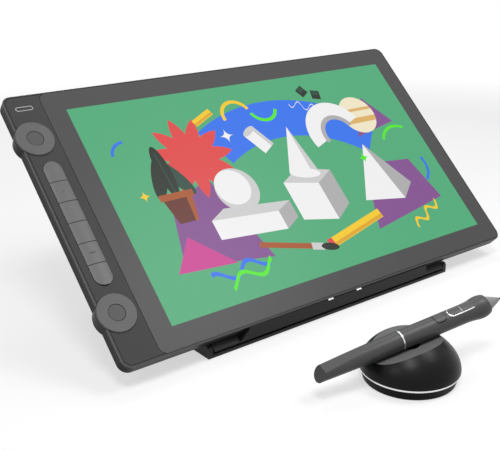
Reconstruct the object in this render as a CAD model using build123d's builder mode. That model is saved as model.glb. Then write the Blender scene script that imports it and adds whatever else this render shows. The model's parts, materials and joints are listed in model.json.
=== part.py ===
from build123d import *
import os
from math import cos, radians, sin, tan

# A graphics tablet with a built-in screen. It leans on a folding stand, and its
# pen lies across a round holder in front of the stand. Millimetres, +Z up, +X to
# the right of a person who draws on it, +Y away from that person. The origin is
# on the desk, under the middle of the stand's front rubber foot.

# Stand base: a tray with low side walls
base_width = 270
base_behind_prop = 15.8
base_lift = 0.6
base_floor = 2.4
wall_thick = 4
wall_height = 9.4
wall_round = 3
rear_wall = 3.5
foot_setback = 11
foot_strip_inset = 13
foot_strip_width = 10
foot_strip_recess = 0.8

# Hinge of the stand's sloping deck
tilt_angle = 43
hinge_setback = 4.2
hinge_height = 5.8
hinge_pin_radius = 1.5
hinge_pin_length = 20
hinge_pin_seat = 3
pin_clearance = 0.05
seat_clearance = 0.02
barrel_radius = 2.6
washer_thick = 0.8
washer_radius = 2.4

# Deck: a plate with a rim, hollow underneath
deck_side_gap = 1.0
deck_past_prop = 10
deck_nose = 3.6
deck_rise = 3.9
deck_nose_drop = 0.9
deck_drop = 2.4
deck_skin = 1.4
deck_rim = 7
deck_edge_round = 0.8
deck_corner = 6
deck_pad_thick = 0.6
deck_pad_width = 14
deck_pad_end_inset = 15
deck_pad_side_inset = 32

# Lip that stops the tablet from sliding off the deck
lip_width = 212
lip_below_face = 1.0
lip_crest = 1.2
lip_gap = 0.3
lip_end_slant = 6
lip_mark_width = 5.5
lip_mark_depth = 0.9
lip_mark_spread = 16

# Prop: a leg behind the deck, as long as its pivot is far from the hinge
prop_reach = 90
prop_half_width = 60
prop_thick = 3.0
prop_barrel_radius = 2.2
prop_pin_radius = 1.2
prop_rod_radius = 1.5
prop_bay_gap = 1.5
prop_panel_depth = 0.8
prop_panel_margin = 9

# Toothed strips that the prop's foot rod stands over
rack_thick = 3
rack_gap = 1.5
rack_depth = 1.4
rack_overrun = 7
rack_rod_gap = 0.3
notch_radius = 1.9
notch_step_angle = 5
notch_count = 6

# Tablet: the screen, the glass round it, the control strip on its left, and the layers
screen_width = 349.6
screen_height = 196.7
side_border = 17.5
end_border = 17.65
control_width = 30.75
right_rim = 2.15
end_rim = 1.75
tablet_corner = 8
tablet_foot = 2.3
case_wall = 1.6
case_back = 1.6
front_depth = 3.5
case_chamfer = 2.6
case_fit = 0.15
rim_chamfer = 0.7
glass_corner = 6
glass_thick = 1.1
glass_gap = 0.3
tape_thick = 0.2
tape_width = 5
screen_border = 4
bay_gap = 2
display_thick = 2.0
backlight_thick = 3.5
digitizer_thick = 0.4
shield_thick = 0.6
shield_margin = 3
backlight_rim = 3
backlight_rim_step = 0.4

# Case screws and their bosses, and rubber feet on the back
boss_radius = 2.9
boss_edge = 7.25
boss_board_gap = 12
boss_middle_gap = 16
boss_right_inset = 23.75
screw_radius = 1.0
screw_head_radius = 1.9
screw_head_depth = 1.2
screw_head_thick = 0.8
screw_socket_radius = 0.8
screw_socket_depth = 0.4
screw_length = 6.6
screw_end_gap = 0.15
back_foot_length = 30
back_foot_width = 9
back_foot_proud = 0.8
back_foot_recess = 0.5
back_foot_side_inset = 36.75
back_foot_end_inset = 19.75

# Control strip on the left
strip_thick = 1.3
strip_gap = 0.4
control_inset = 15.15
key_width = 15
key_dial_gap = 7.0
key_count = 6
key_gap = 0.35
key_crown = 0.9
key_proud = 0.3
key_flange = 0.7
key_flange_thick = 0.6
key_depth = 2.0
key_dot_length = 1.0
key_dash_length = 5.0
key_mark_width = 0.8
mark_depth = 0.15

# Dials
dial_inset = 12.6
dial_end_inset = 41.55
dial_radius = 15.2
dial_proud = 1.0
dial_edge = 0.4
dial_well_gap = 0.3
dial_gap = 0.2
skirt_gap = 0.4
skirt_wall = 1.6
skirt_flange_gap = 0.6
skirt_length = 1.1
button_radius = 6.5
button_gap = 0.25
button_edge = 0.3
button_flange = 1.1
button_flange_thick = 0.5
button_flange_gap = 0.1
button_stem = 2.5
button_stem_length = 1.0
button_travel = 0.5
button_recess = 0.15
encoder_radius = 9.0
encoder_hole = 4.2
encoder_floor = 0.6
encoder_gap = 0.2
switch_radius = 3.0
switch_gap = 0.1
bulge_low = 1.0
bulge_taper = 0.8

# Pill key with its bright outline
pill_end_inset = 13.1
pill_length = 14.2
pill_width = 3.8
pill_ring_wall = 0.35
pill_ring_proud = 0.15
pill_ring_depth = 0.8
pill_gap = 0.12
pill_travel = 0.4
pill_flange = 0.7
pill_flange_thick = 0.5
pill_flange_gap = 0.1
pill_stem_radius = 1.6
pill_stem_length = 0.6

# Boards, sockets and the power key
board_thick = 1.2
board_bay_gap = 1.5
control_board_width = 21.5
control_board_inset = 6.75
mat_thick = 0.8
mat_margin = 2
dome_radius = 4.0
dome_top_radius = 2.6
dome_rise = 1.5
dome_gap = 0.7
post_radius = 2.0
control_post_shares = ((0.65, 0.9), (0.65, 0.4), (-0.65, 0.2))
main_board_width = 84
main_board_height = 74
main_board_inset = 90.75
main_post_inset = 4
board_gap = 0.4
chip_size = 14
chip_thick = 0.9
chip_gap = 0.3
chip_place_shares = ((-0.48, 0.05), (0.29, -0.38), (0.52, 0.32))
chip_size_shares = (1.0, 0.7, 0.5)
socket_width = 8.9
socket_height = 3.2
socket_depth = 7.3
socket_wall = 0.35
socket_back = 1.0
socket_inset = 0.3
socket_tongue = 0.7
socket_tongue_width = 5.6
socket_tongue_inset = 1.2
socket_pitch = 18
socket_offset = 14
socket_gap = 0.2
power_key_offset = 18
power_key_length = 10
power_key_height = 2.6
power_key_proud = 0.5
power_key_gap = 0.1
power_key_flange = 0.8
power_key_flange_thick = 0.6
power_key_body = 1.4
power_key_travel = 0.35
power_switch = 3
port_bay_depth = 17
ribbon_width = 18
ribbon_thick = 0.3
ribbon_drop = 17
ribbon_lap = 8
ribbon_ramp = 4
ribbon_slot_gap = 1

# Pen holder
holder_ahead = 108.5
holder_x = -36
holder_foot_radius = 33.4
holder_ring_radius = 36.0
holder_foot_height = 7.6
holder_ring_height = 1.2
holder_height = 37
holder_dome_radius = 36.3
dome_swell_share = 0.5
dome_crest_share = 0.45
dome_gap_height = 0.15
holder_lift = 0.5
holder_pad_recess = 0.5
holder_pad_radius = 29
holder_floor = 2.4
holder_wall = 4.0
saddle_radius = 40
saddle_height = 25.2
pen_hole_radius = 6.3
pen_hole_bottom = 12
spigot_radius = 5
spigot_top = 10.5
holder_ring_wall = 5.5
holder_foot_step = 0.4
dome_bay_inner = 9.5
dome_bay_outer = 29
dome_bay_top = 20
dome_bay_taper = 7
weight_inner = 18
weight_height = 4.6
nib_block_radius = 16.5
nib_ring_radius = 12
spare_nib_count = 8
spare_nib_radius = 0.8
spare_nib_length = 9
nib_hole_gap = 0.2
nib_hole_depth = 3.6

# Pen
pen_yaw = -12
pen_pitch = 9.1
pen_roll = 15
pen_past_holder = 75.9
pen_body_radius = 7.2
pen_seat_gap = 0.4
pen_tail_radius = 5.8
pen_tail_mid = 22
pen_tail_mid_radius = 6.5
pen_tail_full = 60
pen_ring_place = 64.6
pen_ring_width = 0.9
pen_ring_proud = 0.1
pen_spigot_length = 7
pen_neck = 118.5
pen_swell = 128.8
pen_swell_radius = 7.8
pen_flare = 135
pen_flare_radius = 8.6
pen_shoulder = 139.6
pen_shoulder_radius = 8.2
nose_bend = 142.7
nose_bend_radius = 6.9
nose_end = 144.4
nose_end_radius = 5.2
nose_bore_start = 139.2
nose_bore_radius = 3.6
seam_middle = 142.3
seam_tilt = 15
cone_rear = 139.5
cone_rear_radius = 7.3
cone_tip = 153.8
cone_tip_radius = 1.4
pen_length = 156.8
nib_radius = 0.9
nib_start = 133
nib_neck = 154.6
nib_end_radius = 0.4
nib_end_round = 0.3
nib_clearance = 0.15
pen_wall = 1.6
tail_cut_angle = 27
facet_depth = 3.8
facet_length = 40
rocker_start = 107.1
rocker_end = 127.7
rocker_half_width = 3.1
rocker_gap = 0.22
rocker_proud = 0.45
rocker_seat = 5.3
rocker_inlay_width = 0.5
rocker_inlay_half = 2.8
rocker_inlay_seat = 6.7
rocker_frame_wall = 0.6
rocker_frame_proud = 0.12
rocker_frame_seat = 4.6
rocker_bar = 1.2
rocker_bar_gap = 0.3
pen_button_place = 98.9
pen_button_length = 9.2
pen_button_half_width = 4.1
pen_button_corner = 2.8
pen_button_gap = 0.2
pen_button_proud = 0.2
pen_button_seat = 4.9
pen_button_travel = 0.4
pen_board_start = 24
pen_board_end = 108
pen_board_width = 8.4
pen_board_thick = 0.8
pen_board_height = 1.6
pen_switch = 3.4
coil_start = 133.6
coil_end = 138.6
coil_gap = 0.1
coil_core_radius = 1.6
coil_cheek = 1.2
coil_waist = 4.2

cut_overrun = 20


# Places that follow from the sizes
base_front = -foot_setback
hinge_y = base_front + hinge_setback
base_back = hinge_y + 2 * prop_reach + base_behind_prop
base_depth = base_back - base_front
foot_strip_length = base_width - 2 * foot_strip_inset
floor_top = base_lift + base_floor
side_inner = base_width / 2 - wall_thick
deck_width = base_width - 2 * wall_thick - 2 * deck_side_gap
rise = sin(radians(tilt_angle))
run = cos(radians(tilt_angle))
pad_top = deck_rise + deck_pad_thick
deck_length = 2 * prop_reach + deck_past_prop
notch_angles = [tilt_angle - number * notch_step_angle for number in range(notch_count)]
glass_width = screen_width + 2 * side_border
glass_height = screen_height + 2 * end_border
tablet_width = control_width + glass_width + right_rim
tablet_height = glass_height + 2 * end_rim
tablet_side = tablet_width / 2
tablet_end = tablet_height / 2
inside_height = chip_gap + chip_thick + board_thick + board_gap
layers_height = shield_thick + digitizer_thick + backlight_thick + display_thick
tablet_thick = case_back + inside_height + layers_height + glass_thick
lip_top = pad_top + tablet_thick - lip_below_face

# Directions along the slope and straight out of it
up_slope = Axis((0, 0, 0), (0, run, rise))
out_of_slope = Axis((0, 0, 0), (0, -rise, run))

# Planes of the sloping deck: seen from above it, from its right side and from its front
slope = Plane(origin=(0, hinge_y, hinge_height), x_dir=(1, 0, 0), z_dir=(0, -rise, run))
slope_side = Plane(origin=(0, hinge_y, hinge_height), x_dir=(0, run, rise), z_dir=(1, 0, 0))
slope_front = Plane(origin=(0, hinge_y, hinge_height), x_dir=(1, 0, 0), z_dir=(0, -run, -rise))

# The tablet's own plane: the middle of its back, +X right, +Y up the slope
tablet_middle = slope.from_local_coords((0, tablet_foot + tablet_end, pad_top))
tablet_back = Plane(origin=tablet_middle, x_dir=(1, 0, 0), z_dir=(0, -rise, run))


def level(height):
    """Plane across the tablet, a height above its back."""
    return tablet_back.offset(height)


def across(y, x=0):
    """Upright plane across the tablet, at a place up its slope."""
    return Plane(origin=tablet_back.from_local_coords((x, y, 0)), x_dir=(1, 0, 0), z_dir=(0, -run, -rise))


def mirrored(places):
    """The same places above and below the tablet's middle line."""
    return [(x, y) for x, y in places] + [(x, -y) for x, y in places]


def finish(part, label):
    """Name a finished piece and write its STEP file."""
    part.label = label
    export_step(part, f"parts/{label}.step")


os.makedirs("parts", exist_ok=True)


# Stand: places that its pieces share
rack_x = prop_half_width + rack_gap + rack_thick / 2
rack_start = hinge_y + 2 * prop_reach * run - rack_overrun
rack_end = hinge_y + 2 * prop_reach + rack_overrun / 2
tooth_top = hinge_height - prop_rod_radius - rack_rod_gap
bay_half = rack_x + rack_thick / 2 + prop_bay_gap
bay_start = prop_reach - prop_barrel_radius - prop_bay_gap
bay_end = 2 * prop_reach + prop_barrel_radius + prop_bay_gap
crest_middle = tablet_foot - lip_gap - lip_crest / 2

# Base tray: floor, two side walls with rounded front corners, and a rear wall
with BuildPart() as base_tray:
    with BuildSketch(Plane.XY.offset(base_lift)):
        with Locations((0, (base_front + base_back) / 2)):
            Rectangle(base_width, base_depth)
    extrude(amount=base_floor)
    for side in (-1, 1):
        with BuildSketch(Plane.YZ.offset(side * (base_width - wall_thick) / 2)) as wall:
            with BuildLine():
                Polyline(
                    (base_front, base_lift),
                    (base_back, base_lift),
                    (base_back, base_lift + wall_height),
                    (base_front, base_lift + wall_height),
                    close=True,
                )
            make_face()
            fillet(wall.vertices().group_by(Axis.Y)[-1].group_by(Axis.X)[0], wall_round)
        extrude(amount=wall_thick / 2, both=True)
    with BuildSketch(Plane.XY.offset(base_lift)):
        with Locations((0, base_back - rear_wall / 2)):
            Rectangle(base_width, rear_wall)
    extrude(amount=wall_height)
    fillet(base_tray.edges().filter_by(Axis.Z).group_by(Axis.Y)[-1].sort_by(Axis.X)[0], wall_round)
    fillet(base_tray.edges().filter_by(Axis.Z).group_by(Axis.Y)[-1].sort_by(Axis.X)[-1], wall_round)
    # Blind holes that the deck's hinge pins are pressed into
    for side in (-1, 1):
        with BuildSketch(Plane.YZ.offset(side * side_inner)):
            with Locations((hinge_y, hinge_height)):
                Circle(hinge_pin_radius + seat_clearance)
        extrude(amount=side * hinge_pin_seat, mode=Mode.SUBTRACT)
    # Recesses under the base for the rubber feet
    with BuildSketch(Plane.XY.offset(base_lift)):
        with Locations((0, 0), (0, base_back - foot_setback)):
            RectangleRounded(foot_strip_length, foot_strip_width, foot_strip_width / 2 - seat_clearance)
    extrude(amount=foot_strip_recess, mode=Mode.SUBTRACT)
    # Slots in the floor that the toothed strips stand in
    with BuildSketch(Plane.XY.offset(floor_top)):
        with Locations((-rack_x, (rack_start + rack_end) / 2), (rack_x, (rack_start + rack_end) / 2)):
            Rectangle(rack_thick, rack_end - rack_start)
    extrude(amount=-rack_depth, mode=Mode.SUBTRACT)
finish(base_tray.part, "base_tray")

# Rubber strips that the stand rests on
with BuildPart() as base_feet:
    with BuildSketch():
        with Locations((0, 0), (0, base_back - foot_setback)):
            RectangleRounded(
                foot_strip_length - 2 * seat_clearance,
                foot_strip_width - 2 * seat_clearance,
                foot_strip_width / 2 - 2 * seat_clearance,
            )
    extrude(amount=base_lift + foot_strip_recess)
finish(base_feet.part, "base_feet")

# Toothed strips: a notch for each angle that the deck can be set to
with BuildPart() as rack_strips:
    for side in (-1, 1):
        with BuildSketch(Plane.YZ.offset(side * rack_x)):
            with BuildLine():
                Polyline(
                    (rack_start, floor_top - rack_depth),
                    (rack_end, floor_top - rack_depth),
                    (rack_end, tooth_top),
                    (rack_start, tooth_top),
                    close=True,
                )
            make_face()
            with Locations(*[(hinge_y + 2 * prop_reach * cos(radians(a)), tooth_top) for a in notch_angles]):
                Circle(notch_radius, mode=Mode.SUBTRACT)
        extrude(amount=rack_thick / 2, both=True)
finish(rack_strips.part, "rack_strips")

# Steel pins that the deck turns on, one at each end
with BuildPart() as hinge_pins:
    for side in (-1, 1):
        with BuildSketch(Plane.YZ.offset(side * (side_inner + hinge_pin_seat))):
            with Locations((hinge_y, hinge_height)):
                Circle(hinge_pin_radius)
        extrude(amount=-side * hinge_pin_length)
finish(hinge_pins.part, "hinge_pins")

# Friction washers between the deck's ends and the walls
with BuildPart() as hinge_washers:
    for side in (-1, 1):
        with BuildSketch(Plane.YZ.offset(side * side_inner)):
            with Locations((hinge_y, hinge_height)):
                Circle(washer_radius)
                Circle(hinge_pin_radius + seat_clearance, mode=Mode.SUBTRACT)
        extrude(amount=-side * washer_thick)
finish(hinge_washers.part, "hinge_washers")

# Deck plate: round front bar on the hinge line, plate, rim and bays underneath
with BuildPart() as deck_plate:
    with BuildSketch(slope_side) as section:
        Circle(barrel_radius)
        with BuildLine():
            Polyline(
                (-deck_nose, deck_nose_drop),
                (0, deck_nose_drop),
                (0, -deck_drop),
                (deck_length, -deck_drop),
                (deck_length, deck_rise),
                (-deck_nose, deck_rise),
                close=True,
            )
        make_face()
        fillet(section.vertices().group_by(Axis.X)[0], deck_edge_round)
    extrude(amount=deck_width / 2, both=True)
    fillet(deck_plate.edges().filter_by(out_of_slope).group_by(up_slope)[-1], deck_corner)
    # Bays under the plate: a front one, the prop's one, and one on each side of it
    bay_ceiling = deck_rise - deck_skin
    with BuildSketch(slope.offset(bay_ceiling)):
        with Locations((0, (barrel_radius + bay_start) / 2)):
            front_bay = bay_start - barrel_radius - 2 * deck_rim
            RectangleRounded(deck_width - 2 * deck_rim, front_bay, deck_rim / 2)
        with Locations((0, (bay_start + bay_end) / 2)):
            Rectangle(2 * bay_half, bay_end - bay_start)
        side_bay = deck_width / 2 - 2 * deck_rim - bay_half
        side_bay_x = bay_half + deck_rim + side_bay / 2
        with Locations((-side_bay_x, (bay_start + bay_end) / 2), (side_bay_x, (bay_start + bay_end) / 2)):
            RectangleRounded(side_bay, bay_end - bay_start - deck_rim, deck_rim / 2)
    extrude(amount=-cut_overrun, mode=Mode.SUBTRACT)
    # Bores for the hinge pins, and holes for the prop's pin in the ribs beside its bay
    for side in (-1, 1):
        with BuildSketch(slope_side.offset(side * deck_width / 2)):
            Circle(hinge_pin_radius + pin_clearance)
        extrude(amount=-side * hinge_pin_length, mode=Mode.SUBTRACT)
    with BuildSketch(slope_side):
        with Locations((prop_reach, 0)):
            Circle(prop_pin_radius + seat_clearance)
    extrude(amount=bay_half + deck_rim, both=True, mode=Mode.SUBTRACT)
finish(deck_plate.part, "deck_plate")

# Lip: a wedge-shaped moulding along the deck's front edge, with slanted ends
with BuildPart() as lip:
    with BuildSketch(slope_side) as section:
        with BuildLine():
            Polyline(
                (tablet_foot - lip_gap, deck_rise),
                (tablet_foot - lip_gap, lip_top),
                (tablet_foot - lip_gap - lip_crest, lip_top),
                (-deck_nose, deck_rise),
                close=True,
            )
        make_face()
    extrude(amount=lip_width / 2, both=True)
    with BuildSketch(slope_front):
        with BuildLine():
            Polyline(
                (-lip_width / 2, deck_rise),
                (lip_width / 2, deck_rise),
                (lip_width / 2 - lip_end_slant, lip_top),
                (lip_end_slant - lip_width / 2, lip_top),
                close=True,
            )
        make_face()
    extrude(amount=cut_overrun, both=True, mode=Mode.INTERSECT)
    # Seats for the two white inserts in the lip's crest
    with BuildSketch(slope.offset(lip_top)):
        with Locations((-lip_mark_spread, crest_middle), (lip_mark_spread, crest_middle)):
            Rectangle(lip_mark_width, 2 * lip_crest)
    extrude(amount=-lip_mark_depth, mode=Mode.SUBTRACT)
finish(lip.part, "lip")

# White inserts set in the lip's crest
with BuildPart() as lip_marks:
    with BuildSketch(slope.offset(lip_top - lip_mark_depth)):
        with Locations((-lip_mark_spread, crest_middle), (lip_mark_spread, crest_middle)):
            Rectangle(lip_mark_width - 2 * seat_clearance, lip_crest)
    extrude(amount=lip_mark_depth)
finish(lip_marks.part, "lip_marks")

# Rubber pads on the deck that the tablet's back rests on
with BuildPart() as deck_pads:
    pad_x = deck_width / 2 - deck_pad_side_inset
    pad_length = deck_length - 2 * deck_pad_end_inset
    with BuildSketch(slope.offset(deck_rise)):
        with Locations((-pad_x, deck_length / 2), (pad_x, deck_length / 2)):
            RectangleRounded(deck_pad_width, pad_length, deck_pad_width / 2 - seat_clearance)
    extrude(amount=deck_pad_thick)
finish(deck_pads.part, "deck_pads")

# Prop: its pivot lies on the deck's hinge line, and its foot as far beyond it, so
# the foot keeps its height as the deck folds
prop_pivot = slope.from_local_coords((0, prop_reach, 0))
prop_plane = Plane(origin=prop_pivot, x_dir=(1, 0, 0), z_dir=(0, rise, run))
prop_side = Plane(origin=prop_pivot, x_dir=(0, run, -rise), z_dir=(1, 0, 0))
with BuildPart() as prop_leg:
    with BuildSketch(prop_side):
        with Locations((0, 0), (prop_reach, 0)):
            Circle(prop_barrel_radius)
        with Locations((prop_reach / 2, 0)):
            Rectangle(prop_reach, prop_thick)
    extrude(amount=prop_half_width, both=True)
    # Pressed panels that stiffen the leg, on both faces
    press_width = (2 * prop_half_width - 4 * prop_panel_margin) / 3
    press_pitch = press_width + prop_panel_margin
    press_places = [(shift * press_pitch, prop_reach / 2) for shift in (-1, 0, 1)]
    for face_side in (-1, 1):
        with BuildSketch(prop_plane.offset(face_side * prop_thick / 2)):
            with Locations(*press_places):
                RectangleRounded(press_width, prop_reach - 2 * prop_panel_margin, prop_panel_margin / 2)
        extrude(amount=-face_side * prop_panel_depth, mode=Mode.SUBTRACT)
    with BuildSketch(prop_side):
        Circle(prop_pin_radius + pin_clearance)
        with Locations((prop_reach, 0)):
            Circle(prop_rod_radius)
    extrude(amount=base_width, both=True, mode=Mode.SUBTRACT)
finish(prop_leg.part, "prop_leg")

# Pin that the prop turns on, held in the deck's ribs
with BuildPart() as prop_pin:
    with BuildSketch(prop_side):
        Circle(prop_pin_radius)
    extrude(amount=bay_half + deck_rim - deck_edge_round, both=True)
finish(prop_pin.part, "prop_pin")

# Steel rod through the prop's foot; its ends stand over the toothed strips
with BuildPart() as prop_rod:
    with BuildSketch(prop_side):
        with Locations((prop_reach, 0)):
            Circle(prop_rod_radius)
    extrude(amount=rack_x + rack_thick / 2 + prop_bay_gap / 2, both=True)
finish(prop_rod.part, "prop_rod")


# Tablet: places that its pieces share
glass_shift = (control_width - right_rim) / 2
glass_low = tablet_thick - glass_thick
case_split = tablet_thick - front_depth
ledge = glass_low - tape_thick
strip_low = tablet_thick - strip_thick
inner_step = case_wall + case_fit
panel_width = screen_width + 2 * screen_border
panel_height = screen_height + 2 * screen_border
bay_width = panel_width + 2 * bay_gap
bay_height = panel_height + 2 * bay_gap
display_low = glass_low - display_thick
backlight_low = display_low - backlight_thick
frame_low = backlight_low - digitizer_thick
shield_low = frame_low - shield_thick
main_board_x = main_board_inset - tablet_side
main_left = main_board_x - main_board_width / 2
main_right = main_board_x + main_board_width / 2
boss_middle = main_right + boss_middle_gap
boss_xs = (main_left - boss_board_gap, boss_middle, -boss_middle, tablet_side - boss_right_inset)
bosses = mirrored([(x, tablet_end - boss_edge) for x in boss_xs])
back_foot_x = tablet_side - back_foot_side_inset
back_foot_y = tablet_end - back_foot_end_inset
back_feet = mirrored([(-back_foot_x, back_foot_y), (back_foot_x, back_foot_y)])
control_x = control_inset - tablet_side
dial_x = dial_inset - tablet_side
dial_y = tablet_end - dial_end_inset
pill_y = tablet_end - pill_end_inset
dials = [(dial_x, dial_y), (dial_x, -dial_y)]
well_radius = dial_radius + dial_well_gap
bulge_low_radius = well_radius - bulge_taper
button_flange_radius = button_radius + button_flange
skirt_inner = button_flange_radius + skirt_flange_gap
skirt_outer = skirt_inner + skirt_wall
bulge_flare = (well_radius - bulge_low_radius) / (strip_low - bulge_low)
split_radius = bulge_low_radius + bulge_flare * (case_split - bulge_low)
key_low = tablet_thick - key_depth
key_column = 2 * (dial_y - dial_radius - key_dial_gap)
key_pitch = key_column / key_count
key_ys = [(key_count - 1) * key_pitch / 2 - number * key_pitch for number in range(key_count)]
control_board_low = key_low - dome_gap - dome_rise - mat_thick - board_thick
control_board_top = control_board_low + board_thick
control_board_length = tablet_height - 2 * control_board_inset
control_half = (control_board_width / 2, control_board_length / 2)
control_posts = mirrored(
    [(control_x + across_share * control_half[0], up_share * control_half[1])
     for across_share, up_share in control_post_shares]
)
main_board_low = shield_low - board_gap - board_thick
main_board_top = main_board_low + board_thick
main_board_y = tablet_end - inner_step - main_board_height / 2
port_level = main_board_top + socket_height / 2
socket_right = main_board_x - socket_offset
socket_xs = (socket_right - socket_pitch, socket_right)
power_key_x = main_board_x + power_key_offset
ribbon_place = main_board_y - ribbon_drop


def glass_outline(grow, mode=Mode.ADD):
    """Outline of the cover glass, grown by a clearance, for the current sketch."""
    with Locations((glass_shift, 0)):
        RectangleRounded(glass_width + 2 * grow, glass_height + 2 * grow, glass_corner + grow, mode=mode)


def strip_outline(inset, seam):
    """Outline of the control strip, which fills the frame's left side up to the glass."""
    edge = inner_step + inset
    RectangleRounded(tablet_width - 2 * edge, tablet_height - 2 * edge, tablet_corner - edge)
    right = glass_shift - glass_width / 2 + glass_corner
    with Locations((right + tablet_width / 2, 0)):
        Rectangle(tablet_width, tablet_height, mode=Mode.SUBTRACT)
    glass_outline(seam, mode=Mode.SUBTRACT)


def ports(grow):
    """Outlines of the sockets and the power key on the top edge, grown by a clearance."""
    with Locations(*[(x, port_level) for x in socket_xs]):
        SlotOverall(socket_width + 2 * grow, socket_height + 2 * grow)
    with Locations((power_key_x, port_level)):
        SlotOverall(power_key_length + 2 * grow, power_key_height + 2 * grow)


# Rear cover: back, side walls, lower part of the bulges, bosses and posts
with BuildPart() as rear_cover:
    with BuildSketch(level(0)):
        RectangleRounded(tablet_width, tablet_height, tablet_corner)
    extrude(amount=case_split)
    chamfer(rear_cover.faces().sort_by(out_of_slope)[0].edges(), case_chamfer)
    for place in dials:
        with BuildSketch(level(bulge_low)):
            with Locations(place):
                Circle(bulge_low_radius)
        with BuildSketch(level(case_split)):
            with Locations(place):
                Circle(split_radius)
        loft()
    with BuildSketch(level(case_back)):
        RectangleRounded(
            tablet_width - 2 * case_wall, tablet_height - 2 * case_wall, tablet_corner - case_wall
        )
    extrude(amount=tablet_thick, mode=Mode.SUBTRACT)
    inner_floor = rear_cover.faces().filter_by(out_of_slope).group_by(out_of_slope)[-2]
    chamfer(inner_floor.edges(), case_chamfer - case_wall)
    with BuildSketch(level(case_back)):
        with Locations(*bosses):
            Circle(boss_radius)
    extrude(amount=frame_low - case_back)
    with BuildSketch(level(case_back)):
        with Locations(*control_posts):
            Circle(post_radius)
    extrude(amount=control_board_low - case_back)
    with BuildSketch(level(case_back)):
        with Locations((main_board_x, main_board_y)):
            with GridLocations(
                main_board_width - 2 * main_post_inset, main_board_height - 2 * main_post_inset, 2, 2
            ):
                Circle(post_radius)
    extrude(amount=main_board_low - case_back)
    # Holes and counterbores for the case screws, and recesses for the feet
    with BuildSketch(level(0)):
        with Locations(*bosses):
            Circle(screw_radius + seat_clearance)
    extrude(amount=tablet_thick, mode=Mode.SUBTRACT)
    with BuildSketch(level(0)):
        with Locations(*bosses):
            Circle(screw_head_radius + seat_clearance)
    extrude(amount=screw_head_depth, mode=Mode.SUBTRACT)
    with BuildSketch(level(0)):
        with Locations(*back_feet):
            SlotOverall(back_foot_length, back_foot_width)
    extrude(amount=back_foot_recess, mode=Mode.SUBTRACT)
    # Openings in the top edge
    with BuildSketch(across(tablet_end)):
        ports(socket_gap)
    extrude(amount=case_wall + case_fit, mode=Mode.SUBTRACT)
finish(rear_cover.part, "rear_cover")

# Rubber feet on the back, for use without the stand
with BuildPart() as tablet_feet:
    with BuildSketch(level(back_foot_recess)):
        with Locations(*back_feet):
            SlotOverall(back_foot_length - 2 * seat_clearance, back_foot_width - 2 * seat_clearance)
    extrude(amount=-back_foot_recess - back_foot_proud)
finish(tablet_feet.part, "tablet_feet")

# Front frame: rim round the glass and the strip, ledges, upper part of the bulges
with BuildPart() as front_frame:
    with BuildSketch(level(case_split)):
        RectangleRounded(tablet_width, tablet_height, tablet_corner)
    extrude(amount=tablet_thick - case_split)
    chamfer(front_frame.faces().sort_by(out_of_slope)[-1].edges(), rim_chamfer)
    with BuildSketch(level(frame_low)):
        RectangleRounded(
            tablet_width - 2 * inner_step, tablet_height - 2 * inner_step, tablet_corner - inner_step
        )
    extrude(amount=case_split - frame_low)
    for place in dials:
        with BuildSketch(level(case_split)):
            with Locations(place):
                Circle(split_radius)
        with BuildSketch(level(strip_low)):
            with Locations(place):
                Circle(well_radius)
        loft()
    # Pockets for the glass and the strip, and wells for the dials
    with BuildSketch(level(ledge)):
        glass_outline(glass_gap)
    extrude(amount=tablet_thick, mode=Mode.SUBTRACT)
    with BuildSketch(level(strip_low)):
        strip_outline(0, glass_gap)
        with Locations(*dials):
            Circle(well_radius)
    extrude(amount=tablet_thick, mode=Mode.SUBTRACT)
    with BuildSketch(level(case_split)):
        with Locations(*dials):
            Circle(skirt_outer + skirt_gap)
    extrude(amount=tablet_thick, mode=Mode.SUBTRACT)
    # Bays for the display's layers, for the controls and for the ports
    with BuildSketch(level(0)):
        with Locations((glass_shift, 0)):
            Rectangle(bay_width, bay_height)
        with Locations((control_x, 0)):
            Rectangle(control_board_width + 2 * board_bay_gap, control_board_length + 2 * board_bay_gap)
    extrude(amount=2 * tablet_thick, mode=Mode.SUBTRACT)
    with BuildSketch(level(0)):
        with Locations((main_board_x, (tablet_height - port_bay_depth) / 2)):
            Rectangle(main_board_width + 2 * bay_gap, port_bay_depth)
    extrude(amount=case_split - case_fit, mode=Mode.SUBTRACT)
    with BuildSketch(level(0)):
        with Locations(*bosses):
            Circle(screw_radius + seat_clearance)
    extrude(amount=screw_head_depth + screw_length + screw_end_gap, mode=Mode.SUBTRACT)
finish(front_frame.part, "front_frame")

# Case screws, put in from the back
with BuildPart() as case_screws:
    with BuildSketch(level(screw_head_depth)):
        with Locations(*bosses):
            Circle(screw_radius)
    extrude(amount=screw_length)
    with BuildSketch(level(screw_head_depth)):
        with Locations(*bosses):
            Circle(screw_head_radius)
    extrude(amount=-screw_head_thick)
    with BuildSketch(level(screw_head_depth - screw_head_thick)):
        with Locations(*bosses):
            RegularPolygon(screw_socket_radius, 6)
    extrude(amount=screw_socket_depth, mode=Mode.SUBTRACT)
finish(case_screws.part, "case_screws")

# Cover glass
with BuildPart() as cover_glass:
    with BuildSketch(level(glass_low)):
        glass_outline(0)
    extrude(amount=glass_thick)
finish(cover_glass.part, "cover_glass")

# Adhesive frame that holds the glass on its ledge
with BuildPart() as glass_tape:
    with BuildSketch(level(ledge)):
        with Locations((glass_shift, 0)):
            Rectangle(bay_width + 2 * tape_width, bay_height + 2 * tape_width)
            Rectangle(bay_width, bay_height, mode=Mode.SUBTRACT)
    extrude(amount=tape_thick)
finish(glass_tape.part, "glass_tape")

# Display panel, right behind the glass
with BuildPart() as display_panel:
    with BuildSketch(level(display_low)):
        with Locations((glass_shift, 0)):
            Rectangle(panel_width, panel_height)
    extrude(amount=display_thick)
finish(display_panel.part, "display_panel")

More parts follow.
